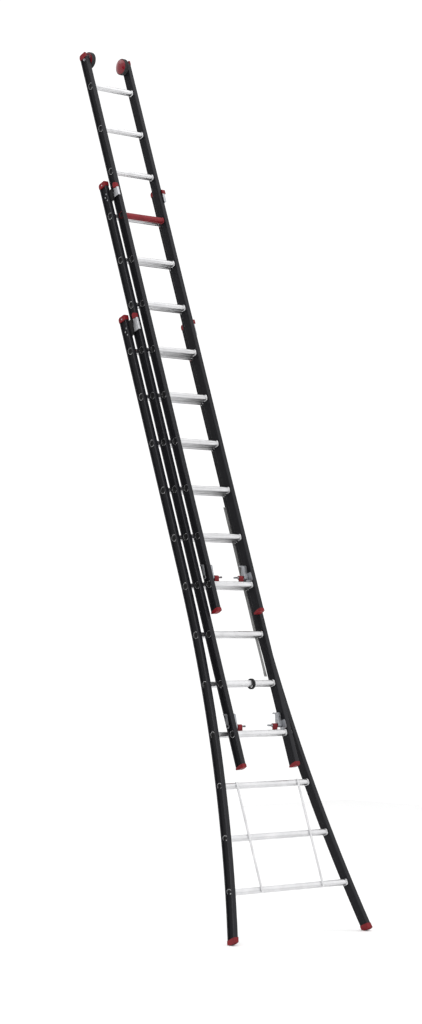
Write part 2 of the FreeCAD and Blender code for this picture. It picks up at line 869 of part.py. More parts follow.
doc.recompute()

# Check the document, then write one STEP file for each finished sub-part.

for obj in doc.Objects:
    if "Invalid" in obj.State or "Error" in obj.State:
        raise RuntimeError(f"{obj.Name} did not build: {obj.State}")
    shape = getattr(obj, "Shape", None)
    if shape is not None and obj.TypeId.startswith("Part::") and (shape.isNull() or not shape.isValid()):
        raise RuntimeError(f"{obj.Name} has a bad shape")

os.makedirs("parts", exist_ok=True)
for part in NODES:
    if not part.Shape.Solids:
        raise RuntimeError(f"{part.Label} has no solid")
    part.Shape.exportStep(os.path.join("parts", part.Label + ".step"))
    print(part.Label, len(part.Shape.Solids), "solids", round(part.Shape.Volume / 1000), "cm3")
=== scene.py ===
import json
import math

import bmesh
import bpy
from mathutils import Matrix, Vector


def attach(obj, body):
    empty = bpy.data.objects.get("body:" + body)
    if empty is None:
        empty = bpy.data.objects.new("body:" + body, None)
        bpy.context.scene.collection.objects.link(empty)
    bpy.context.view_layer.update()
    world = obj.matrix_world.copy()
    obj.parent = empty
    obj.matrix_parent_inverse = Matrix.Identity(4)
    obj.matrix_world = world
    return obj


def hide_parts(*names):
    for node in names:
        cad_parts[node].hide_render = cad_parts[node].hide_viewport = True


# Looks for a three-section extension ladder that leans back towards a wall.
#
# Every piece is drawn on the upright ladder: +X across the rungs, +Y from the climber to the wall and +Z
# along the stiles, with the origin on the floor line. TILT leans it back. Lengths are in metres, and MM is
# a millimetre. "Distance" always means distance from the ladder's centre plane.

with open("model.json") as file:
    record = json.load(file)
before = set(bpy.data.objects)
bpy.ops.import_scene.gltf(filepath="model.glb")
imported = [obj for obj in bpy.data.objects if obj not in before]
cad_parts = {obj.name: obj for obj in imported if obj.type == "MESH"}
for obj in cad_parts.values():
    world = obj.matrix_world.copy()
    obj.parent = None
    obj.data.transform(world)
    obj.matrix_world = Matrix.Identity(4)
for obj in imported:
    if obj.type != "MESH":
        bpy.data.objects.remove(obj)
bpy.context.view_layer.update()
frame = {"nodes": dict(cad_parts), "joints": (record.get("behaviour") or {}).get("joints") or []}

MM = 0.001
SIDES = {"left": -1, "right": 1}
JOINTS = {joint["name"]: joint for joint in frame["joints"]}
SLIDE_AXIS = Vector(JOINTS["middle_slide"]["axis"])
LEAN = math.atan2(SLIDE_AXIS.y, SLIDE_AXIS.z)
TILT = Matrix.Rotation(-LEAN, 4, "X")
UPRIGHT = TILT.inverted()

# The radius at which a profile that is turned about X meets its axis.
PINHOLE = 0.02 * MM


def place_of(*nodes):
    """Lowest and highest corner of some CAD nodes on the upright ladder."""
    points = [UPRIGHT @ v.co for n in nodes for v in frame["nodes"][n].data.vertices]
    low = Vector([min(p[k] for p in points) for k in range(3)])
    high = Vector([max(p[k] for p in points) for k in range(3)])
    return low, high


# Sections

RUNGS = 12
MARKER_RUNG = 8
FLARED_RUNGS = 6
FLARE_START = 2020 * MM
FLARE_RADIUS = 8300 * MM
RECESS = 8 * MM
FLANGE = 8 * MM
RING_RADIUS = 19.5 * MM
RUNG_DEPTH = 34 * MM
RUNG_HEIGHT = 32 * MM
RUNG_CORNER = 12 * MM


class Section:
    """Where one ladder section's stiles and rungs are."""

    def __init__(self, name):
        self.name = name
        self.body = f"{name}_section"
        low, high = place_of(f"{name}_stile_right")
        self.inner = low.x
        self.outer = high.x
        self.front = low.y
        self.rear = high.y
        self.y = (low.y + high.y) / 2
        self.bottom = low.z
        self.top = high.z
        rung_nodes = [n for n in frame["nodes"] if n.startswith(f"{name}_rung")]
        low, high = place_of(*rung_nodes)
        self.first = low.z + RING_RADIUS
        self.pitch = (high.z - low.z - RING_RADIUS * 2) / (RUNGS - 1)

    def level(self, index):
        return self.first + self.pitch * index

    def spread(self, distance, z):
        return flared(distance, z) if self.name == "base" else distance

    def slope(self, z):
        return flare_slope(z) if self.name == "base" else 0.0


UPPER = Section("upper")
MIDDLE = Section("middle")
BASE = Section("base")
STILE_WIDTH = MIDDLE.outer - MIDDLE.inner
BASE.outer = BASE.inner + STILE_WIDTH
BASE.pitch = MIDDLE.pitch
BASE.first = sum(corner.z for corner in place_of("base_rung_01")) / 2
BEND_CENTRE = BASE.outer + FLARE_RADIUS


def flared(distance, z):
    """A distance in the straight part of the base, carried down its long outward bend to a lower level."""
    if z >= FLARE_START:
        return distance
    radius = BEND_CENTRE - distance
    return BEND_CENTRE - math.sqrt(radius**2 - (FLARE_START - z) ** 2)


def flare_slope(z):
    """How far a stile of the base leans out at a level, in radians."""
    return math.asin(max(0.0, FLARE_START - z) / FLARE_RADIUS)


# Mesh building


def skin(bm, rings, wrap=False):
    """Join closed loops of points into one surface, which is capped at both ends or wraps round."""
    loops = [[bm.verts.new(point) for point in ring] for ring in rings]
    pairs = list(zip(loops, loops[1:]))
    if wrap:
        pairs.append((loops[-1], loops[0]))
    for below, above in pairs:
        for k in range(len(below)):
            j = (k + 1) % len(below)
            bm.faces.new((below[k], below[j], above[j], above[k]))
    if not wrap:
        bm.faces.new(loops[0])
        bm.faces.new(loops[-1])
    return [vertex for loop in loops for vertex in loop]


def across(bm, outline, side, near, far):
    """A (y, z) outline pushed outwards between two distances, on one side."""
    return skin(bm, [[(side * d, y, z) for y, z in outline] for d in (near, far)])


def upwards(bm, outline, side, levels):
    """A (distance, y) outline carried through levels, each a height or a function of y that gives one."""
    rings = []
    for level in levels:
        height = level if callable(level) else (lambda y, level=level: level)
        rings.append([(side * d, y, height(y)) for d, y in outline])
    return skin(bm, rings)


def turned(bm, profile, side, y, z, steps):
    """A closed (radius, distance) profile turned about a line along X."""
    rings = []
    for k in range(steps):
        angle = 2 * math.pi * k / steps
        c, s = math.cos(angle), math.sin(angle)
        rings.append([(side * d, y + r * c, z + r * s) for r, d in profile])
    return skin(bm, rings, wrap=True)


def arc(centre, radius, start, end, steps=6):
    """Points on an arc, with angles in degrees."""
    angles = [math.radians(start + (end - start) * k / steps) for k in range(steps + 1)]
    return [(centre[0] + radius * math.cos(a), centre[1] + radius * math.sin(a)) for a in angles]


def rounded(low, high, radius, steps=4):
    """A rounded rectangle between two corners."""
    (a, b), (c, d) = low, high
    corners = (((c - radius, d - radius), 0), ((a + radius, d - radius), 90))
    corners += (((a + radius, b + radius), 180), ((c - radius, b + radius), 270))
    return [p for centre, start in corners for p in arc(centre, radius, start, start + 90, steps)]


SHARP = math.radians(32)


def add(name, data):
    """Put a new object into the scene."""
    obj = bpy.data.objects.new(name, data)
    bpy.context.scene.collection.objects.link(obj)
    return obj


def leaned(name, bm):
    """Turn finished mesh work into an object that leans back with the ladder."""
    bmesh.ops.recalc_face_normals(bm, faces=bm.faces)
    mesh = bpy.data.meshes.new(name)
    bm.to_mesh(mesh)
    bm.free()
    obj = add(name, mesh)
    obj.matrix_world = TILT
    return obj


def shade(mesh):
    mesh.shade_smooth()
    mesh.set_sharp_from_angle(angle=SHARP)


def piece(name, bm, body, look, *nodes, slot, bevel=0.0):
    """Finish a piece: lean it back, give it its look and its body, and let it stand for CAD nodes."""
    bmesh.ops.remove_doubles(bm, verts=bm.verts, dist=1e-6)
    obj = leaned(name, bm)
    shade(obj.data)
    obj.data.materials.append(look)
    if bevel:
        edge = obj.modifiers.new("edges", "BEVEL")
        edge.width = bevel
        edge.segments = 2
        edge.limit_method = "ANGLE"
        edge.angle_limit = SHARP
        edge.harden_normals = True
    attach(obj, body)
    if nodes:
        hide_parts(*nodes)
    return obj


# Materials. Object coordinates are the upright ladder's, so grain runs along the stiles or the rungs.


class Look:
    """A material with a few building blocks for its nodes."""

    def __init__(self, name, **sockets):
        self.material = bpy.data.materials.new(name)
        self.material.use_nodes = True
        self.nodes = self.material.node_tree.nodes
        self.links = self.material.node_tree.links
        self.shader = self.nodes["Principled BSDF"]
        self.heights = []
        for socket, value in sockets.items():
            self.shader.inputs[socket.replace("_", " ")].default_value = value

    def node(self, kind, **settings):
        made = self.nodes.new(kind)
        for key, value in settings.items():
            setattr(made, key, value)
        return made

    def place(self, stretch=(1, 1, 1)):
        coordinates = self.node("ShaderNodeTexCoord")
        mapping = self.node("ShaderNodeMapping")
        mapping.inputs["Scale"].default_value = stretch
        self.links.new(coordinates.outputs["Object"], mapping.inputs["Vector"])
        return mapping.outputs["Vector"]

    def noise(self, scale, stretch=(1, 1, 1), detail=4.0):
        made = self.node("ShaderNodeTexNoise")
        made.inputs["Scale"].default_value = scale
        made.inputs["Detail"].default_value = detail
        made.inputs["Roughness"].default_value = 0.55
        self.links.new(self.place(stretch), made.inputs["Vector"])
        return made.outputs["Fac"]

    def weave(self, across_scale, along_scale):
        """Over-and-under ribs of a woven band."""
        product = self.node("ShaderNodeMath", operation="MULTIPLY")
        for k, (axis, scale) in enumerate((("X", across_scale), ("Z", along_scale))):
            wave = self.node("ShaderNodeTexWave", wave_type="BANDS", bands_direction=axis)
            wave.inputs["Scale"].default_value = scale
            self.links.new(self.place(), wave.inputs["Vector"])
            self.links.new(wave.outputs["Fac"], product.inputs[k])
        return product.outputs["Value"]

    def edges(self, radius):
        """A mask that is bright where the surface turns sharply: worn corners on most looks, and painted
        highlights on the black stiles.
        """
        bevel = self.node("ShaderNodeBevel", samples=4)
        bevel.inputs["Radius"].default_value = radius
        geometry = self.node("ShaderNodeNewGeometry")
        turn = self.node("ShaderNodeVectorMath", operation="DOT_PRODUCT")
        self.links.new(bevel.outputs["Normal"], turn.inputs[0])
        self.links.new(geometry.outputs["Normal"], turn.inputs[1])
        spread = self.node("ShaderNodeMapRange")
        for socket, value in (("From Min", 0.99), ("From Max", 0.80), ("To Min", 0.0), ("To Max", 1.0)):
            spread.inputs[socket].default_value = value
        self.links.new(turn.outputs["Value"], spread.inputs["Value"])
        return spread.outputs["Result"]

    def between(self, factor, low, high, start=0.3, end=0.7):
        ramp = self.node("ShaderNodeValToRGB")
        ramp.color_ramp.elements[0].position = start
        ramp.color_ramp.elements[1].position = end
        ramp.color_ramp.elements[0].color = (*low, 1)
        ramp.color_ramp.elements[1].color = (*high, 1)
        self.links.new(factor, ramp.inputs["Fac"])
        return ramp.outputs["Color"]

    def over(self, factor, below, above, strength):
        """Lay a colour over another one where a mask is bright."""
        mask = self.node("ShaderNodeMath", operation="MULTIPLY")
        mask.inputs[1].default_value = strength
        mix = self.node("ShaderNodeMix", data_type="RGBA")
        self.links.new(factor, mask.inputs[0])
        self.links.new(mask.outputs["Value"], mix.inputs["Factor"])
        self.links.new(below, mix.inputs["A"])
        mix.inputs["B"].default_value = (*above, 1)
        return mix.outputs["Result"]

    def colour(self, output):
        self.links.new(output, self.shader.inputs["Base Color"])

    def rough(self, factor, low, high):
        spread = self.node("ShaderNodeMapRange")
        spread.inputs["To Min"].default_value = low
        spread.inputs["To Max"].default_value = high
        self.links.new(factor, spread.inputs["Value"])
        self.links.new(spread.outputs["Result"], self.shader.inputs["Roughness"])

    def bump(self, height, depth, strength):
        made = self.node("ShaderNodeBump")
        made.inputs["Strength"].default_value = strength
        made.inputs["Distance"].default_value = depth
        self.links.new(height, made.inputs["Height"])
        if self.heights:
            self.links.new(self.heights[-1], made.inputs["Normal"])
        self.heights.append(made.outputs["Normal"])
        self.links.new(made.outputs["Normal"], self.shader.inputs["Normal"])


ALONG_STILE = (1, 1, 0.012)
ALONG_RUNG = (0.012, 1, 1)


def satin_black(name, low, high, line, edge_highlight, specular, rough):
    """Satin black coating on an extrusion: drawn lines along it, fine grain, and paler edges painted on as
    highlights.
    """
    look = Look(name, Metallic=0.0, IOR=1.5, Specular_IOR_Level=specular)
    streaks = look.noise(260, ALONG_STILE, detail=3)
    tone = look.between(streaks, low, high)
    # Painted highlight: a paler colour laid along sharp edges.
    edge_lit = look.over(look.edges(1.6 * MM), tone, line, edge_highlight)
    look.colour(look.over(look.noise(4.5), edge_lit, high, 0.25))
    look.rough(look.noise(38, (1, 1, 0.2)), *rough)
    look.bump(streaks, 0.12 * MM, 0.5)
    look.bump(look.noise(2600, detail=2), 0.03 * MM, 0.4)
    return look.material


def drawn_aluminium(name, low, high, along):
    """Bare extruded aluminium: brushed lines, soft clouding, and a few brighter rubbed edges."""
    look = Look(name, Metallic=1.0, Anisotropic=0.35)
    lines = look.noise(420, along, detail=3)
    tone = look.between(look.noise(14, detail=3), low, high)
    look.colour(look.over(look.edges(0.6 * MM), tone, (0.90, 0.90, 0.91), 0.3))
    look.rough(lines, 0.28, 0.42)
    look.bump(lines, 0.10 * MM, 0.45)
    return look.material


def red_coating():
    """Red coating on the marker rung, worn at its edges."""
    look = Look("red_coating", Metallic=0.3, Specular_IOR_Level=0.4)
    lines = look.noise(420, ALONG_RUNG, detail=3)
    tone = look.between(look.noise(16), (0.17, 0.008, 0.014), (0.24, 0.013, 0.020))
    look.colour(look.over(look.edges(0.7 * MM), tone, (0.42, 0.10, 0.11), 0.35))
    look.rough(lines, 0.30, 0.45)
    look.bump(lines, 0.10 * MM, 0.4)
    return look.material


def red_plastic():
    """Moulded dark red plastic with a fine spark-eroded grain and scuffs near the edges."""
    look = Look("moulded_red_plastic", IOR=1.48, Specular_IOR_Level=0.22)
    tone = look.between(look.noise(30, detail=6), (0.150, 0.006, 0.010), (0.225, 0.010, 0.015))
    look.colour(look.over(look.edges(0.8 * MM), tone, (0.36, 0.05, 0.06), 0.3))
    look.rough(look.noise(120), 0.28, 0.44)
    look.bump(look.noise(1500, detail=2), 0.05 * MM, 0.5)
    return look.material


def hub_gloss():
    """Polished red plastic with a very faint mottle."""
    look = Look("polished_red_plastic", IOR=1.5, Coat_Weight=0.3, Coat_Roughness=0.08)
    look.colour(look.between(look.noise(22, detail=3), (0.170, 0.005, 0.012), (0.225, 0.008, 0.018)))
    look.rough(look.noise(90), 0.16, 0.26)
    look.bump(look.noise(700, detail=2), 0.012 * MM, 0.3)
    return look.material


def black_plastic():
    """Moulded black plastic with a matt grain and greyed corners."""
    look = Look("moulded_black_plastic", IOR=1.46, Specular_IOR_Level=0.25)
    tone = look.between(look.noise(40, detail=6), (0.006, 0.006, 0.007), (0.013, 0.013, 0.014))
    look.colour(look.over(look.edges(0.7 * MM), tone, (0.06, 0.06, 0.06), 0.5))
    look.rough(look.noise(150), 0.44, 0.62)
    look.bump(look.noise(1400, detail=2), 0.06 * MM, 0.5)
    return look.material


def rubber():
    """Grey-black tyre rubber with dusty patches."""
    look = Look("tyre_rubber", IOR=1.45, Specular_IOR_Level=0.3, Sheen_Weight=0.1, Sheen_Roughness=0.5)
    tone = look.between(look.noise(60, detail=7), (0.014, 0.014, 0.015), (0.034, 0.034, 0.036))
    look.colour(look.over(look.noise(9), tone, (0.07, 0.07, 0.07), 0.2))
    look.rough(look.noise(200), 0.58, 0.82)
    look.bump(look.noise(1100, detail=3), 0.08 * MM, 0.6)
    return look.material


def zinc():
    """Bright zinc plating with cloudy spangle."""
    look = Look("zinc_plated_steel", Metallic=1.0)
    tone = look.between(look.noise(160, detail=5), (0.36, 0.37, 0.39), (0.52, 0.53, 0.55))
    look.colour(look.over(look.edges(0.5 * MM), tone, (0.75, 0.75, 0.77), 0.4))
    look.rough(look.noise(240), 0.24, 0.42)
    look.bump(look.noise(900, detail=2), 0.02 * MM, 0.4)
    return look.material


def cast_aluminium():
    """Tumbled casting: grainy, with a dull sheen."""
    look = Look("cast_aluminium", Metallic=1.0)
    tone = look.between(look.noise(110, detail=6), (0.33, 0.34, 0.36), (0.48, 0.49, 0.51))
    look.colour(look.over(look.edges(0.7 * MM), tone, (0.80, 0.80, 0.82), 0.5))
    look.rough(look.noise(300), 0.36, 0.54)
    look.bump(look.noise(800, detail=4), 0.10 * MM, 0.6)
    return look.material


def webbing():
    """Pale grey woven polyester band."""
    look = Look("woven_webbing", Sheen_Weight=0.2, Sheen_Roughness=0.6, Roughness=0.85)
    ribs = look.weave(180, 120)
    tone = look.between(ribs, (0.20, 0.20, 0.20), (0.46, 0.46, 0.45), 0.1, 0.8)
    look.colour(look.over(look.noise(25, detail=5), tone, (0.34, 0.34, 0.32), 0.3))
    look.bump(ribs, 0.35 * MM, 0.8)
    look.bump(look.noise(1800, detail=2), 0.08 * MM, 0.4)
    return look.material


# Edge colours painted on as highlights: pale on the open faces, dim on the shaded copy of the coating.
PALE_EDGE_HIGHLIGHT = (0.50, 0.50, 0.53)
DIM_EDGE_HIGHLIGHT = (0.05, 0.05, 0.06)
OPEN_TONES = ((0.007, 0.007, 0.009), (0.015, 0.015, 0.019))
# The darker tones, dim edges and low specular below make a shaded copy of the black coating, painted as
# shade in the recessed channel and on the inner face.
SHADED_TONES = ((0.005, 0.005, 0.006), (0.009, 0.009, 0.011))
BLACK = satin_black("satin_black", *OPEN_TONES, PALE_EDGE_HIGHLIGHT, edge_highlight=0.85, specular=0.22, rough=(0.3, 0.45))
PAINTED_SHADE_BLACK = satin_black("web_black", *SHADED_TONES, DIM_EDGE_HIGHLIGHT, edge_highlight=0.5, specular=0.12, rough=(0.4, 0.55))
BRUSHED = drawn_aluminium("brushed_rung_aluminium", (0.62, 0.62, 0.63), (0.74, 0.74, 0.75), ALONG_RUNG)
MILLED = drawn_aluminium("mill_finish_aluminium", (0.42, 0.43, 0.45), (0.58, 0.59, 0.61), ALONG_STILE)
BARS = drawn_aluminium("bright_bar_aluminium", (0.64, 0.64, 0.65), (0.76, 0.76, 0.77), ALONG_STILE)
RED_COAT = red_coating()
RED = red_plastic()
GLOSS = hub_gloss()
PLASTIC = black_plastic()
RUBBER = rubber()
ZINC = zinc()
CAST = cast_aluminium()
WEB = webbing()


# Rungs

RIB_DEPTH = 0.8 * MM
RIB_COUNT = 7
MOUTH = 10.5 * MM
PLUG_RADIUS = RING_RADIUS - 1.9 * MM


def rung_outline():
    """A rounded tube, as (y, z), with anti-slip ribs along its crown and shallower ones underneath."""
    reach = RUNG_DEPTH / 2
    rise = RUNG_HEIGHT / 2
    r = RUNG_CORNER
    crown = reach - r
    points = arc((reach - r, rise - r), r, 0, 90, 8)
    step = 2 * crown / (RIB_COUNT * 2)
    for k in range(1, RIB_COUNT * 2):
        points.append((crown - k * step, rise - RIB_DEPTH * (k % 2)))
    points += arc((r - reach, rise - r), r, 90, 180, 8)
    points += arc((r - reach, r - rise), r, 180, 270, 8)
    for k in range(1, RIB_COUNT * 2):
        points.append((k * step - crown, RIB_DEPTH / 2 * (k % 2) - rise))
    points += arc((reach - r, r - rise), r, 270, 360, 8)
    return points


RUNG_OUTLINE = rung_outline()


def seated(bm, profile, side, seat, slope, y, z):
    """Turn a profile about X and set it on the recess floor, square to a flared stile."""
    made = turned(bm, profile, side, 0, 0, steps=36)
    turn = Matrix.Rotation(side * slope, 4, "Y")
    place = Matrix.Translation((side * seat, y, z))
    bmesh.ops.transform(bm, matrix=place @ turn, verts=made)


def rung_end(bm, *seat):
    """The swaged end of a rung: a thin rolled ring on the recess floor."""
    lip = 1.8 * MM
    profile = [
        (RING_RADIUS - 0.5 * MM, 0.1 * MM),
        (RING_RADIUS, 0.7 * MM),
        (RING_RADIUS - 0.3 * MM, lip - 0.3 * MM),
        (RING_RADIUS - 0.9 * MM, lip),
        (RING_RADIUS - 1.6 * MM, lip - 0.2 * MM),
        (PLUG_RADIUS, 0.5 * MM),
        (PLUG_RADIUS, -6 * MM),
        (RING_RADIUS - 4 * MM, -6 * MM),
    ]
    seated(bm, profile, *seat)


def rung_plug(bm, *seat):
    """The dark plug in a rung's end, dished towards a small open centre."""
    profile = [
        (PLUG_RADIUS - 0.1 * MM, -5 * MM),
        (PLUG_RADIUS - 0.1 * MM, 0.3 * MM),
        (PLUG_RADIUS - 1.2 * MM, 0.9 * MM),
        (PLUG_RADIUS - 3.5 * MM, 0.6 * MM),
        (MOUTH, -0.6 * MM),
        (MOUTH - 1.2 * MM, -2 * MM),
        (MOUTH - 1.6 * MM, -4 * MM),
        (PINHOLE, -4.6 * MM),
        (PINHOLE, -6 * MM),
    ]
    seated(bm, profile, *seat)


def rung_bead(bm, side, near, y, z):
    """The bulge pressed up round the tube against the inner face of the stile."""
    rings = []
    for step, grow in ((-7, 0.05), (-5.5, 1.1), (-3.5, 2.2), (-1.2, 2.4), (0.4, 1.6)):
        factor = 1 + grow * MM / (RUNG_HEIGHT / 2)
        rings.append([(side * (near + step * MM), y + u * factor, z + v * factor) for u, v in RUNG_OUTLINE])
    skin(bm, rings)


def rung(bm, plugs, section, index):
    z = section.level(index)
    near = section.spread(section.inner, z)
    seat = section.spread(section.outer - RECESS, z)
    slope = section.slope(z)
    hidden = seat - 5 * MM
    outline = [(section.y + u, z + v) for u, v in RUNG_OUTLINE]
    skin(bm, [[(x, u, v) for u, v in outline] for x in (-hidden, hidden)])
    for side in SIDES.values():
        rung_end(bm, side, seat, slope, section.y, z)
        rung_bead(bm, side, near, section.y, z)
        rung_plug(plugs, side, seat, slope, section.y, z)


def rungs(name, section, indices, look, slot):
    tubes = bmesh.new()
    plugs = bmesh.new()
    for index in indices:
        rung(tubes, plugs, section, index)
    piece(f"{name}_tubes", tubes, section.body, look, name, slot=slot)
    piece(f"{name}_plugs", plugs, section.body, PLASTIC, slot="block_black")


# Stiles

GROOVES = 7
GROOVE_DEPTH = 0.7 * MM


def stile_outline(section):
    """A stile's section as (distance, y): a ribbed inner face, and a channel recessed in the outer one."""
    a, b = section.inner, section.outer
    front, rear = section.front, section.rear
    floor = b - RECESS
    corner = 2.6 * MM
    edge = 1.4 * MM
    foot = 1.6 * MM
    points = arc((a + corner, rear - corner), corner, 90, 180)
    span = (rear - front) - corner * 4
    pitch = span / GROOVES
    for k in range(GROOVES):
        middle = rear - corner * 2 - pitch * (k + 0.5)
        for shift, depth in ((0.18, 0), (0.10, 1), (-0.10, 1), (-0.18, 0)):
            points.append((a + depth * GROOVE_DEPTH, middle + shift * pitch))
    points += arc((a + corner, front + corner), corner, 180, 270)
    points += arc((b - edge, front + edge), edge, 270, 360, 4)
    points += arc((b - edge, front + FLANGE - edge), edge, 0, 90, 4)
    points += [(floor + foot, front + FLANGE)]
    points += arc((floor + foot, front + FLANGE + foot), foot, 270, 180, 3)
    for share in (0.22, 0.5, 0.78):
        line = front + FLANGE + (rear - front - FLANGE * 2) * share
        for shift, depth in ((-1.0, 0), (-0.5, 1), (0.5, 1), (1.0, 0)):
            points.append((floor - depth * 0.5 * MM, line + shift * MM))
    points += arc((floor + foot, rear - FLANGE - foot), foot, 180, 90, 3)
    points += arc((b - edge, rear - FLANGE + edge), edge, 270, 360, 4)
    points += arc((b - edge, rear - edge), edge, 0, 90, 4)
    return points


def drill(obj, cutters):
    """Cut round holes through a piece."""
    bm = bmesh.new()
    for side, near, far, y, z, radius, slope in cutters:
        made = across(bm, arc((y, z), radius, 0, 345, 23), side, near, far)
        if slope:
            centre = Vector((side * (near + far) / 2, y, z))
            turn = Matrix.Rotation(side * slope, 4, "Y")
            matrix = Matrix.Translation(centre) @ turn @ Matrix.Translation(-centre)
            bmesh.ops.transform(bm, matrix=matrix, verts=made)
    tool = leaned("cutters", bm)
    holes = obj.modifiers.new("holes", "BOOLEAN")
    holes.operation = "DIFFERENCE"
    holes.solver = "EXACT"
    holes.object = tool
    bpy.context.view_layer.update()
    drilled = bpy.data.meshes.new_from_object(obj.evaluated_get(bpy.context.evaluated_depsgraph_get()))
    obj.modifiers.remove(holes)
    obj.data = drilled
    shade(drilled)
    bpy.data.objects.remove(tool)


CAP_SINK = 16 * MM
SHOE_SINK = 1 * MM
FOOT_SINK = 0.5 * MM
SHAFT_HOLE = 5.2 * MM


def pivot_of(section):
    """Where the latch shafts of a section run, as (y, z)."""
    point = UPRIGHT @ Vector(JOINTS[f"{section.name}_latch_left_hinge"]["pos_m"])
    return point.y, point.z


def paint_channel_shade(obj, section):
    """Paint shade into the outer channel and onto the ribbed inner face with a darker, duller copy of the
    black coating.
    """
    obj.data.materials.append(PAINTED_SHADE_BLACK)
    for face in obj.data.polygons:
        centre = face.center
        distance = abs(centre.x) - (section.spread(section.inner, centre.z) - section.inner)
        middle = section.front + 3 * MM < centre.y < section.rear - 3 * MM
        if middle and distance < section.outer - 1.6 * MM:
            face.material_index = 1


def stile(section, where):
    """One stile, drilled where the rungs and the latch shafts go through."""
    side = SIDES[where]
    name = f"{section.name}_stile_{where}"
    outline = stile_outline(section)
    bottom = section.bottom + (FOOT_SINK if section is BASE else SHOE_SINK)
    top = section.top - CAP_SINK
    levels = [bottom, top]
    if section is BASE:
        bends = 26
        start = FLARE_START - bottom
        levels = [bottom + start * k / bends for k in range(bends + 1)] + [top]
    bm = bmesh.new()
    skin(bm, [[(side * section.spread(d, z), y, z) for d, y in outline] for z in levels])
    obj = piece(f"{name}_extrusion", bm, section.body, BLACK, name, slot="stile_black")
    cutters = []
    for index in range(RUNGS):
        z = section.level(index)
        shift = section.spread(section.inner, z) - section.inner
        near = section.inner + shift - 5 * MM
        far = section.outer + shift + 5 * MM
        cutters.append((side, near, far, section.y, z, MOUTH + 3.2 * MM, section.slope(z)))
    if section is not BASE:
        y, z = pivot_of(section)
        cutters.append((side, section.inner - 5 * MM, section.outer + 5 * MM, y, z, SHAFT_HOLE, 0.0))
    drill(obj, cutters)
    # Painted shade in the channel and on the inner face.
    paint_channel_shade(obj, section)


# End caps, shoes and feet

CAP_SKIN = 1.5 * MM
CAP_SLEEVE = 24 * MM
CAP_END = 6 * MM


def cap_outline(section):
    """A top cap's side view as (y, z): a short sleeve with a big rounding at the rear."""
    front = section.front - CAP_SKIN
    rear = section.rear + CAP_SKIN
    sleeve = section.top - CAP_SLEEVE
    crest = section.top + CAP_END
    outline = [(rear, sleeve)]
    outline += arc((rear - 16 * MM, crest - 16 * MM), 16 * MM, 0, 90, 8)
    outline += arc((front + 6 * MM, crest - 6 * MM), 6 * MM, 90, 180, 5)
    outline += [(front, sleeve)]
    return outline


def cap_panel(bm, section, side):
    """The slightly raised panel on a top cap's outer face."""
    centre = section.top - CAP_SLEEVE * 0.35
    panel = rounded((section.y - 14 * MM, centre - 8 * MM), (section.y + 14 * MM, centre + 8 * MM), 4 * MM)
    across(bm, panel, side, section.outer, section.outer + CAP_SKIN + 0.6 * MM)


def top_caps(section):
    """Caps over the stiles' upper ends. The upper section's are cheeks that leave the inner face bare."""
    near = section.outer - RECESS * 0.8 if section is UPPER else section.inner - CAP_SKIN
    for where, side in SIDES.items():
        bm = bmesh.new()
        across(bm, cap_outline(section), side, near, section.outer + CAP_SKIN)
        cap_panel(bm, section, side)
        name = f"{section.name}_cap_{where}"
        piece(f"{name}_moulding", bm, section.body, RED, name, slot="end_red", bevel=1.1 * MM)


SHOE_REAR = 7 * MM
SHOE_FRONT = 17 * MM
SHOE_BULGE = 3 * MM
SHOE_BOW = 5 * MM


def lengthwise(rear, front, steps, height):
    """Points of a side view, as (y, z), at a height that depends on the share of the way to the front."""
    shares = [k / steps for k in range(steps + 1)]
    return [(rear + (front - rear) * share, height(share)) for share in shares]


def brim(rear, front, bulge, share):
    """The height of a shoe's upper edge, which rises towards the front and bulges in between."""
    return rear + (front - rear) * share + bulge * math.sin(math.pi * share)


def shoe(bm, section, side):
    """A shoe with a bowed sole, cut back at the rear so the stile shows down to its end."""
    front = section.front - CAP_SKIN
    rear = section.rear + CAP_SKIN
    lowest = section.bottom - CAP_END

    def sole(share):
        return lowest + SHOE_BOW * (2 * share - 1) ** 2

    def rim(share):
        return section.bottom + brim(SHOE_REAR, SHOE_FRONT, SHOE_BULGE, share)

    outline = lengthwise(rear, front, 12, sole)
    outline += reversed(lengthwise(rear, front, 12, rim))
    across(bm, outline, side, section.inner - CAP_SKIN, section.outer + CAP_SKIN)


def shoes(name, section, sides):
    bm = bmesh.new()
    for side in sides:
        shoe(bm, section, side)
    piece(f"{name}_moulding", bm, section.body, RED, name, slot="end_red", bevel=1.1 * MM)


SOLE_RADIUS = 80 * MM
SOLE_FLAT = 1.2 * MM
FOOT_REAR = 31 * MM
FOOT_FRONT = 36 * MM
FOOT_BULGE = 1.5 * MM
TREAD_LANES = 9
TREAD_DEPTH = 1.2 * MM


def foot(where):
    """A foot that follows the flare, with a rounded, grooved sole and a level patch on the floor."""
    side = SIDES[where]
    name = f"base_foot_{where}"
    reach = (BASE.rear - BASE.front) / 2 + CAP_SKIN
    centre = (SOLE_RADIUS - SOLE_FLAT) / math.cos(LEAN)
    near = BASE.inner - CAP_SKIN
    width = STILE_WIDTH + CAP_SKIN * 2
    upper = lengthwise(reach, -reach, 24, lambda share: brim(FOOT_REAR, FOOT_FRONT, FOOT_BULGE, share))
    rings = []
    for lane in range(TREAD_LANES * 2 + 1):
        distance = near + width * lane / (TREAD_LANES * 2)
        groove = TREAD_DEPTH if lane % 2 else 0.0
        lower = []
        for y, _ in upper:
            rolled = centre - math.sqrt(SOLE_RADIUS**2 - y**2) + groove
            lower.append((y, max(rolled, y * math.tan(LEAN))))
        ring = lower + upper[::-1]
        rings.append([(side * flared(distance, z), y, z) for y, z in ring])
    bm = bmesh.new()
    skin(bm, rings)
    piece(f"{name}_moulding", bm, "base_section", RED, name, slot="end_red", bevel=0.8 * MM)


# Guide brackets

GUIDE_SKIN = 3 * MM
GUIDE_RIBS = 7


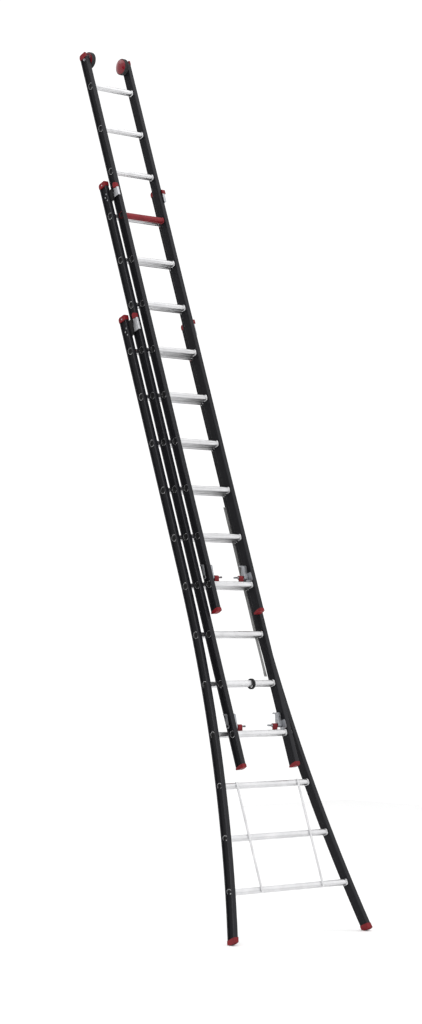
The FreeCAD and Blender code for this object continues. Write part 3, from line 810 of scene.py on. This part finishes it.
def guide_outline(near, face, front, lip_rear, rear):
    """An L, as (distance, y): a lip in front of the stile it holds and a ribbed plate beside it."""
    corner = 3 * MM
    inner = face - GUIDE_SKIN
    points = [(near, lip_rear), (near, front + 1 * MM), (near + 1 * MM, front), (face - corner, front)]
    points += arc((face - corner, front + corner), corner, 270, 360, 5)
    start = front + corner + 1 * MM
    pitch = (rear - 1 * MM - start) / GUIDE_RIBS
    for k in range(GUIDE_RIBS):
        for share, depth in ((0.1, 0), (0.3, 1), (0.7, 1), (0.9, 0)):
            points.append((face - depth * 1.1 * MM, start + pitch * (k + share)))
    return points + [(face, rear), (inner, rear), (inner, lip_rear)]


def guide(section, where):
    """The ribbed bracket that holds the front section's stile, its mounting plate and two bolt heads."""
    name = f"{section.name}_guide_{where}"
    side = SIDES[where]
    low, high = place_of(f"{section.name}_guide_right")
    glide_low = place_of(f"{section.name}_guide_tips")[0]
    face = high.x
    lip_rear = glide_low.y + 8 * MM
    bottom = low.z + 15 * MM
    bm = bmesh.new()
    outline = guide_outline(low.x, face, low.y, lip_rear, section.front)
    upwards(bm, outline, side, (bottom, high.z))
    plate = rounded((section.front, low.z), (high.y, high.z), 3 * MM)
    across(bm, plate, side, face - GUIDE_SKIN, face)
    for level in (low.z + 14 * MM, high.z - 14 * MM):
        head = [(PINHOLE, -2.2 * MM), (3 * MM, -1.9 * MM), (4.6 * MM, -0.6 * MM)]
        head += [(4.8 * MM, 0), (PINHOLE, 0)]
        moved = [(r, face - GUIDE_SKIN + d) for r, d in head]
        turned(bm, moved, side, high.y - 10 * MM, level, steps=20)
    piece(f"{name}_bracket", bm, section.body, MILLED, name, slot="guide_silver", bevel=0.4 * MM)


def guide_blocks(section):
    """Black blocks outside the brackets, raked at the front, with raised bars across their outer faces."""
    name = f"{section.name}_guide_blocks"
    low, high = place_of(name)
    foot_front = low.y + 10 * MM
    bm = bmesh.new()
    for side in SIDES.values():
        outline = [(high.y, low.z), (high.y, high.z), (low.y + 3 * MM, high.z), (low.y, high.z - 4 * MM)]
        outline += [(foot_front, low.z + 6 * MM), (foot_front + 5 * MM, low.z)]
        across(bm, outline, side, section.inner, high.x - 1.2 * MM)
        for k in range(6):
            level = low.z + (high.z - low.z) * (k + 0.7) / 6.4
            share = (level - low.z) / (high.z - low.z)
            front = foot_front + (low.y - foot_front) * share + 4 * MM
            bar = rounded((front, level - 2 * MM), (high.y - 3 * MM, level + 2 * MM), 1.4 * MM)
            across(bm, bar, side, high.x - 1.6 * MM, high.x)
    piece(f"{name}_moulding", bm, section.body, PLASTIC, name, slot="block_black", bevel=0.7 * MM)


def guide_tips(section):
    """Red glides on top of the brackets, with a bowed crest."""
    name = f"{section.name}_guide_tips"
    low, high = place_of(name)
    near = place_of(f"{section.name}_guide_right")[0].x
    inner = section.inner - GUIDE_SKIN
    lip_rear = low.y + 8 * MM
    depth = high.y - low.y

    def crest(y):
        return high.z - 7 * MM * (2 * (y - low.y) / depth - 1) ** 2

    steps = 7
    outline = [(near, lip_rear), (near, low.y + 2 * MM), (near + 2 * MM, low.y)]
    outline += arc((high.x - 4 * MM, low.y + 4 * MM), 4 * MM, 270, 360, 4)
    outline += [(high.x, low.y + depth * (0.2 + 0.8 * k / steps)) for k in range(steps + 1)]
    outline += [(inner, high.y - (high.y - lip_rear) * k / steps) for k in range(steps + 1)]
    bm = bmesh.new()
    for side in SIDES.values():
        upwards(bm, outline, side, (low.z, crest))
    piece(f"{name}_moulding", bm, section.body, RED, name, slot="end_red", bevel=1.0 * MM)


def collars(section):
    """Red collars round the top rung, against the stiles."""
    name = f"{section.name}_collars"
    low, high = place_of(name)
    z = (low.z + high.z) / 2
    bm = bmesh.new()
    grow = 4 * MM
    outer = rounded((low.y, low.z), (high.y, high.z), RUNG_CORNER + grow, 6)
    inner = rounded(
        (section.y - RUNG_DEPTH / 2, z - RUNG_HEIGHT / 2),
        (section.y + RUNG_DEPTH / 2, z + RUNG_HEIGHT / 2),
        RUNG_CORNER,
        6,
    )
    thickness = 6 * MM
    for side in SIDES.values():
        near = section.inner - thickness
        far = section.inner
        loops = [
            [(side * d, y, v) for y, v in loop]
            for loop, d in ((inner, near), (outer, near), (outer, far), (inner, far))
        ]
        skin(bm, loops, wrap=True)
    piece(f"{name}_moulding", bm, section.body, RED, name, slot="end_red", bevel=0.9 * MM)


def dome(bm, side, seat, y, z, radius, height):
    """A domed rivet head with a small pressed dimple."""
    profile = [
        (PINHOLE, seat + height * 0.72),
        (radius * 0.28, seat + height * 0.74),
        (radius * 0.38, seat + height),
        (radius * 0.70, seat + height * 0.86),
        (radius * 0.93, seat + height * 0.45),
        (radius, seat),
        (PINHOLE, seat - 0.3 * MM),
    ]
    turned(bm, profile, side, y, z, steps=22)


# Each guide rivet's distance behind the middle of the stile and below its top.
GUIDE_RIVETS = ((-9 * MM, 72 * MM), (5 * MM, 88 * MM), (-7 * MM, 110 * MM))
RIVET_RADIUS = 4.5 * MM
RIVET_HEIGHT = 2 * MM


def rivets(section):
    """The rivets of the guide brackets, and the screw in the outer face of each top cap."""
    name = f"{section.name}_rivets"
    bm = bmesh.new()
    seats = [(section.outer - RECESS, section.y + back, section.top - drop) for back, drop in GUIDE_RIVETS]
    seats.append((section.outer + CAP_SKIN, section.y, section.top - CAP_SLEEVE / 2))
    for side in SIDES.values():
        for seat in seats:
            dome(bm, side, *seat, RIVET_RADIUS, RIVET_HEIGHT)
    piece(f"{name}_heads", bm, section.body, ZINC, name, slot="latch_steel")


def runner_bar(where):
    """A bright bar across the front of the three lowest rungs, with a groove down the middle of its face."""
    side = SIDES[where]
    name = f"runner_bar_{where}"
    low, high = place_of("runner_bar_right")
    bm = bmesh.new()
    crown = 1.2 * MM
    middle = (low.x + high.x) / 2
    outline = [(low.x, high.y), (low.x, low.y + crown)]
    outline += [(low.x + crown, low.y), (middle - 1 * MM, low.y)]
    outline += [(middle, low.y + 0.8 * MM), (middle + 1 * MM, low.y)]
    outline += [(high.x - crown, low.y), (high.x, low.y + crown), (high.x, high.y)]
    upwards(bm, outline, side, (low.z, high.z))
    piece(f"{name}_extrusion", bm, "base_section", BARS, name, slot="guide_silver", bevel=0.5 * MM)


# Latches

HANG_DROP = 14 * MM
RELEASE = math.radians(110)
CLAW_RISE = 46 * MM
CLAW_BACK = 12 * MM
CLAW_EYE = 12 * MM
CLAW_ARM = 8 * MM
CLAW_ROOT = 38 * MM
CLAW_LIP = 8 * MM
CLAW_HOOK = 6 * MM
CLAW_CHAMFER = 5 * MM
CLAW_HUMP = 19 * MM
CLAW_PLAY = 1 * MM
OUTER_CLAW = 4 * MM
INNER_CLAW = 28 * MM
SHAFT_RADIUS = 5 * MM
SHAFT_REACH = 82 * MM
PLATE_SKIN = 3 * MM
HANDLE_SKIN = 4 * MM
LEVER_GAP = 6 * MM
LEVER_WIDTH = 28 * MM
LEVER_BOSS = 11 * MM
LEVER_LENGTH = 24 * MM


def claw_outline():
    """The hook, engaged, with the shaft at the origin, as (y, z)."""
    step = MIDDLE.y - UPPER.y
    drop = HANG_DROP - CLAW_RISE
    over = drop + (RUNG_HEIGHT + CLAW_PLAY) / 2
    behind = step - CLAW_BACK + RUNG_DEPTH / 2 + CLAW_PLAY
    tip = behind + CLAW_LIP
    low = drop - CLAW_HOOK
    root = behind - CLAW_ROOT
    crook = 7 * MM
    shoulder = 8 * MM
    points = [(-CLAW_ARM, -CLAW_ARM), (CLAW_ARM, -CLAW_EYE), (root, over)]
    points += arc((behind - crook, over - crook), crook, 90, 0, 5)
    points += [(behind, low + 2 * MM), (behind + 2 * MM, low)]
    points += [(tip - CLAW_CHAMFER, low), (tip, low + CLAW_CHAMFER)]
    points += arc((tip - shoulder, over + shoulder / 2), shoulder, 0, 80, 4)
    points += [(root + CLAW_ARM, over + CLAW_HUMP), (0, CLAW_EYE)]
    return points


def latch(section, where):
    """A swung-up latch: a plate claw outside the stile and a cast channel claw inside, on one shaft."""
    side = SIDES[where]
    name = f"{section.name}_latch_{where}"
    outline = claw_outline()
    outer_near = section.outer + CLAW_PLAY
    outer_far = outer_near + OUTER_CLAW
    cast_far = section.inner - PLATE_SKIN - CLAW_PLAY
    cast_near = cast_far - INNER_CLAW
    cheek = 4.5 * MM
    rim = 1 * MM
    bm = bmesh.new()
    across(bm, outline, side, outer_near, outer_far)
    for near in (cast_near, cast_far - cheek):
        across(bm, outline, side, near, near + cheek)
    upper_edge = outline[-5:]
    web = [(y, z - 0.3 * MM) for y, z in upper_edge]
    web += [(y - 1.5 * MM, z - 5 * MM) for y, z in reversed(upper_edge)]
    across(bm, web, side, cast_near + rim, cast_far - rim)
    for near, far in ((outer_near, outer_far), (cast_near, cast_far)):
        eye = [(PINHOLE, near), (CLAW_EYE - rim, near), (CLAW_EYE, near + rim)]
        eye += [(CLAW_EYE, far - rim), (CLAW_EYE - rim, far), (PINHOLE, far)]
        turned(bm, eye, side, 0, 0, steps=32)
    start = section.inner - SHAFT_REACH
    shaft = [(PINHOLE, start), (SHAFT_RADIUS - 0.8 * MM, start), (SHAFT_RADIUS, start + 0.8 * MM)]
    shaft += [(SHAFT_RADIUS, outer_far), (PINHOLE, outer_far)]
    turned(bm, shaft, side, 0, 0, steps=24)
    handle = rounded((-SHAFT_RADIUS, -24 * MM), (SHAFT_RADIUS, 20 * MM), 4.6 * MM, 5)
    across(bm, handle, side, start, start + HANDLE_SKIN)
    y, z = pivot_of(section)
    swing = Matrix.Translation((0, y, z)) @ Matrix.Rotation(RELEASE, 4, "X")
    bmesh.ops.transform(bm, matrix=swing, verts=bm.verts)
    piece(f"{name}_claws", bm, name, CAST, name, slot="latch_cast", bevel=0.7 * MM)
    lever(section, where, cast_near - LEVER_GAP, swing)


def lever(section, where, far, swing):
    """The red thumb lever on the shaft, ribbed for grip."""
    side = SIDES[where]
    name = f"{section.name}_lever_{where}"
    near = far - LEVER_WIDTH
    end = -LEVER_LENGTH
    outline = arc((0, 0), LEVER_BOSS, 180, 450, 18)[1:]
    outline += [(end + 3 * MM, LEVER_BOSS), (end, LEVER_BOSS - 3 * MM), (end, 2 * MM), (end + 2 * MM, 0)]
    outline += [(-LEVER_BOSS, 0)]
    bm = bmesh.new()
    across(bm, outline, side, near, far)
    for k in range(4):
        ridge = end + (4.5 + 3.4 * k) * MM
        bar = [(ridge - 0.9 * MM, 0.5 * MM), (ridge + 0.9 * MM, 0.5 * MM), (ridge, -1.0 * MM)]
        across(bm, bar, side, near + 3 * MM, far - 3 * MM)
    bmesh.ops.transform(bm, matrix=swing, verts=bm.verts)
    body = f"{section.name}_latch_{where}"
    piece(f"{name}_grip", bm, body, RED, name, slot="end_red", bevel=0.8 * MM)


def latch_plates(section):
    """Zinc bearing plates inside the stiles, each with a raised boss round the shaft and four rivets."""
    name = f"{section.name}_latch_plates"
    low, high = place_of(name)
    y, z = pivot_of(section)
    bm = bmesh.new()
    near = section.inner - PLATE_SKIN
    for side in SIDES.values():
        plate = rounded((low.y, low.z), (high.y, high.z), 6 * MM)
        across(bm, plate, side, near, section.inner)
        boss = [(6 * MM, near - 0.5 * MM), (9 * MM, near - 0.5 * MM), (9.6 * MM, near + 0.5 * MM)]
        boss += [(6 * MM, near + 0.5 * MM)]
        turned(bm, boss, side, y, z, steps=28)
        for v in (low.z + 6 * MM, high.z - 6 * MM):
            for u in (low.y + 6 * MM, high.y - 6 * MM):
                dome_in(bm, side, near, u, v, 3.2 * MM, 0.8 * MM)
    piece(f"{name}_stampings", bm, section.body, ZINC, name, slot="latch_steel", bevel=0.4 * MM)


def dome_in(bm, side, seat, y, z, radius, height):
    """A small rivet head on a face that looks towards the centre plane."""
    profile = [(PINHOLE, seat - height), (radius * 0.6, seat - height * 0.9)]
    profile += [(radius, seat), (PINHOLE, seat + 0.3 * MM)]
    turned(bm, profile, side, y, z, steps=18)


# Wall wheels


def wheel(where):
    """A tyre with a rounded, grooved tread round a rimmed hub with a polished dome."""
    side = SIDES[where]
    body = f"wheel_{where}"
    low, high = place_of("wheel_tyre_right")
    hub_low, hub_high = place_of("wheel_hub_right")
    y = (low.y + high.y) / 2
    z = (low.z + high.z) / 2
    tyre_radius = (high.z - low.z) / 2
    hub_radius = (hub_high.z - hub_low.z) / 2
    near, far = low.x, high.x
    soft = 5 * MM
    angles = [math.radians(a) for a in (0, 20, 45, 70, 90)]
    shoulder = [(tyre_radius - soft + soft * math.sin(a), soft - soft * math.cos(a)) for a in angles]
    tread = [(r, near + d) for r, d in shoulder]
    grooves = 3
    width = far - near - soft * 2
    for k in range(grooves):
        middle = near + soft + width * (k + 0.5) / grooves
        for shift, depth in ((-1.3, 0), (-0.8, 1.5), (0.8, 1.5), (1.3, 0)):
            tread.append((tyre_radius - depth * MM, middle + shift * MM))
    tread += [(r, far - d) for r, d in reversed(shoulder)]
    tread += [(hub_radius + 0.3 * MM, far), (hub_radius + 0.3 * MM, near)]
    bm = bmesh.new()
    turned(bm, tread, side, y, z, steps=72)
    name = f"wheel_tyre_{where}"
    piece(f"{name}_rubber", bm, body, RUBBER, name, slot="tyre_grey", bevel=0.3 * MM)

    rise = near - hub_low.x
    ball = (hub_radius**2 + rise**2) / (rise * 2)
    face = [(PINHOLE, near - rise)]
    for k in range(1, 13):
        r = (hub_radius - 2.2 * MM) * k / 12
        face.append((r, near - rise + ball - math.sqrt(ball**2 - r**2)))
    face += [(hub_radius - 1.8 * MM, near + 0.6 * MM), (hub_radius - 1.2 * MM, near - 0.6 * MM)]
    face += [(hub_radius - 0.4 * MM, near - 0.6 * MM), (hub_radius, near + 0.2 * MM)]
    face += [(hub_radius, far - 1 * MM), (hub_radius - 1 * MM, far), (hub_radius - 9 * MM, far)]
    face += [(hub_radius - 11 * MM, far - 7 * MM), (13 * MM, far - 7 * MM), (12 * MM, far), (6.1 * MM, far)]
    face += [(6.1 * MM, near + 0.3 * MM), (PINHOLE, near + 0.3 * MM)]
    bm = bmesh.new()
    turned(bm, face, side, y, z, steps=72)
    name = f"wheel_hub_{where}"
    piece(f"{name}_dome", bm, body, GLOSS, name, slot="hub_red")


def axles():
    """Wheel bolts, with a six-sided head on a washer in the outer channel and a spacer at the wheel."""
    tyre_low, tyre_high = place_of("wheel_tyre_right")
    y = (tyre_low.y + tyre_high.y) / 2
    z = (tyre_low.z + tyre_high.z) / 2
    seat = UPPER.outer - RECESS
    start = tyre_low.x + 0.5 * MM
    bolt = 6 * MM
    head_seat = seat + 1.2 * MM
    spacer_near = tyre_high.x + 0.2 * MM
    hexagon = arc((y, z), 8.6 * MM, 0, 300, 5)
    bm = bmesh.new()
    for side in SIDES.values():
        shank = [(PINHOLE, start), (bolt, start), (bolt, seat), (PINHOLE, seat)]
        turned(bm, shank, side, y, z, steps=28)
        washer = [(bolt, seat), (10 * MM, seat), (10 * MM, head_seat), (bolt, head_seat)]
        turned(bm, washer, side, y, z, steps=32)
        across(bm, hexagon, side, head_seat, seat + 5 * MM)
        spacer = [(bolt, spacer_near), (9 * MM, spacer_near), (9 * MM, UPPER.inner), (bolt, UPPER.inner)]
        turned(bm, spacer, side, y, z, steps=32)
    piece("wheel_axle_bolts", bm, "upper_section", ZINC, "wheel_axles", slot="latch_steel", bevel=0.4 * MM)


# Spreader straps and the clip ring


def strap(where):
    """A webbing band on the rear of the rungs, turned back at both ends, with an eyelet at each rung."""
    side = SIDES[where]
    name = f"spreader_strap_{where}"
    low, high = place_of("spreader_strap_right")
    middle = (low.y + high.y) / 2
    half = 0.75 * MM
    edge = half * 0.3
    taper = 0.8 * MM
    steps = 60
    bm = bmesh.new()
    rings = []
    for k in range(steps + 1):
        z = low.z + (high.z - low.z) * k / steps
        sway = 0.6 * MM * (1 + math.sin(math.pi * k / 10))
        near = low.x + 0.1 * MM + sway
        far = high.x - 1.3 * MM + sway
        ring = [(near, middle - edge), (near + taper, middle - half), (far - taper, middle - half)]
        ring += [(far, middle - edge), (far, middle + edge), (far - taper, middle + half)]
        ring += [(near + taper, middle + half), (near, middle + edge)]
        rings.append([(side * d, y, z) for d, y in ring])
    skin(bm, rings)
    fold = 26 * MM
    for z in (low.z, high.z - fold):
        lap = rounded((low.x + 0.4 * MM, z), (high.x - 0.4 * MM, z + fold), 1.5 * MM)
        skin(bm, [[(side * d, middle + s * 0.98 * MM, v) for d, v in lap] for s in (-1, 1)])
    piece(f"{name}_webbing", bm, "middle_section", WEB, name, slot="webbing")
    bm = bmesh.new()
    crossings = [MIDDLE.level(k) for k in range(RUNGS) if low.z < MIDDLE.level(k) < high.z]
    for z in [low.z + fold / 2, high.z - fold / 2] + crossings:
        eyelet(bm, side * (low.x + high.x) / 2, middle, z)
    piece(f"{name}_eyelets", bm, "middle_section", ZINC, slot="latch_steel")


def eyelet(bm, x, y, z):
    """An eyelet through the band, which lies across Y."""
    profile = ((2.2, -0.99), (4.2, -0.99), (4.4, 0.9), (3.8, 1.2), (2.6, 1.2), (2.2, 0.9))
    rings = []
    for k in range(20):
        angle = 2 * math.pi * k / 20
        c, s = math.cos(angle), math.sin(angle)
        rings.append([(x + r * MM * c, y + d * MM, z + r * MM * s) for r, d in profile])
    skin(bm, rings, wrap=True)


CLIP_INNER = 20.5 * MM
CLIP_MOUTH = 14 * MM


def clip_ring():
    """A black C-shaped clip round the middle section's second rung, open at the rear."""
    low, high = place_of("clip_ring")
    y = MIDDLE.y
    outer = (high.z - low.z) / 2
    z = (low.z + high.z) / 2
    inner = CLIP_INNER
    near, far = low.x, high.x
    lip = 1 * MM
    rim = 1.5 * MM
    gap = math.degrees(math.asin(CLIP_MOUTH / 2 / outer)) + 4
    section = [(inner, near + lip), (inner + lip, near), (outer - rim, near), (outer, near + rim)]
    section += [(outer, far - rim), (outer - rim, far), (inner + lip, far), (inner, far - lip)]
    rings = []
    steps = 48
    for k in range(steps + 1):
        angle = math.radians(gap + (360 - 2 * gap) * k / steps)
        c, s = math.cos(angle), math.sin(angle)
        rings.append([(x, y + r * c, z + r * s) for r, x in section])
    bm = bmesh.new()
    skin(bm, rings)
    name = "clip_ring"
    piece(f"{name}_moulding", bm, "middle_section", PLASTIC, name, slot="block_black", bevel=0.5 * MM)


# Assembly

for index in range(FLARED_RUNGS):
    rungs(f"base_rung_{index + 1:02d}", BASE, [index], BRUSHED, "rung_silver")
rungs("base_rungs_upper", BASE, range(FLARED_RUNGS, RUNGS), BRUSHED, "rung_silver")
rungs("middle_rungs", MIDDLE, range(RUNGS), BRUSHED, "rung_silver")
rungs("upper_rungs", UPPER, [k for k in range(RUNGS) if k != MARKER_RUNG], BRUSHED, "rung_silver")
rungs("marker_rung", UPPER, [MARKER_RUNG], RED_COAT, "rung_red")

for where, side in SIDES.items():
    for section in (BASE, MIDDLE, UPPER):
        stile(section, where)
    shoes(f"middle_shoe_{where}", MIDDLE, [side])
    foot(where)
    for section in (BASE, MIDDLE):
        guide(section, where)
    for section in (MIDDLE, UPPER):
        latch(section, where)
    runner_bar(where)
    wheel(where)
    strap(where)

shoes("upper_shoes", UPPER, SIDES.values())
for section in (BASE, MIDDLE, UPPER):
    top_caps(section)
for section in (BASE, MIDDLE):
    guide_blocks(section)
    guide_tips(section)
    collars(section)
    rivets(section)
for section in (MIDDLE, UPPER):
    latch_plates(section)
axles()
clip_ring()


# Floor, light and camera

EYE = Vector((-8.367, -9.0515, 1.5508))
HEADING = math.radians(-40.55)
RISE = math.radians(3.08)
FOCAL_LENGTH = 82.75
FLOOR_REACH = 7.5
FLOOR_DROP = 0.5 * MM
BACKDROP = 1.08
ROOM = 0.72


def floor():
    mesh = bpy.data.meshes.new("floor")
    square = ((-1, -1), (1, -1), (1, 1), (-1, 1))
    corners = [(x * FLOOR_REACH, y * FLOOR_REACH, -FLOOR_DROP) for x, y in square]
    mesh.from_pydata(corners, [], [(0, 1, 2, 3)])
    look = Look("pale_floor", Roughness=0.9, Specular_IOR_Level=0.1)
    look.colour(look.between(look.noise(0.6), (0.95, 0.95, 0.95), (0.97, 0.97, 0.97)))
    mesh.materials.append(look.material)
    add("floor", mesh)


def softbox(name, place, aim, size, power):
    """A large square light that points at a place."""
    light = bpy.data.lights.new(name, "AREA")
    light.size = size
    light.energy = power
    obj = add(name, light)
    obj.location = place
    obj.rotation_mode = "QUATERNION"
    obj.rotation_quaternion = (Vector(aim) - Vector(place)).to_track_quat("-Z", "Y")


def studio():
    """A bright backdrop on the far side of the ladder that fades into a dimmer room on the near side."""
    world = bpy.data.worlds.new("studio")
    world.use_nodes = True
    nodes = world.node_tree.nodes
    links = world.node_tree.links
    place = nodes.new("ShaderNodeTexCoord")
    facing = nodes.new("ShaderNodeVectorMath")
    facing.operation = "DOT_PRODUCT"
    facing.inputs[1].default_value = (-math.sin(HEADING), math.cos(HEADING), 0)
    spread = nodes.new("ShaderNodeMapRange")
    spread.interpolation_type = "SMOOTHSTEP"
    for socket, value in (("From Min", 0.35), ("From Max", 0.9), ("To Min", ROOM), ("To Max", BACKDROP)):
        spread.inputs[socket].default_value = value
    links.new(place.outputs["Generated"], facing.inputs[0])
    links.new(facing.outputs["Value"], spread.inputs["Value"])
    background = nodes["Background"]
    background.inputs["Color"].default_value = (1, 1, 1, 1)
    links.new(spread.outputs["Result"], background.inputs["Strength"])
    bpy.context.scene.world = world


def camera():
    data = bpy.data.cameras.new("camera")
    data.lens = FOCAL_LENGTH
    data.clip_end = 200
    obj = add("camera", data)
    obj.location = EYE
    obj.rotation_euler = (math.pi / 2 + RISE, 0, HEADING)
    bpy.context.scene.camera = obj


floor()
studio()
foot_of_ladder = (0, 0.3, 0.6)
middle_of_ladder = (0, 0.9, 2.5)
softbox("overhead", (0, 1, 11), (0, 1, 0), 18, 900)
softbox("front_right", (4.2, -3.8, 3.4), foot_of_ladder, 4.0, 35)
softbox("key", (-6.0, -5.5, 5.5), middle_of_ladder, 2.5, 60)
bpy.context.scene.view_settings.view_transform = "Standard"
camera()
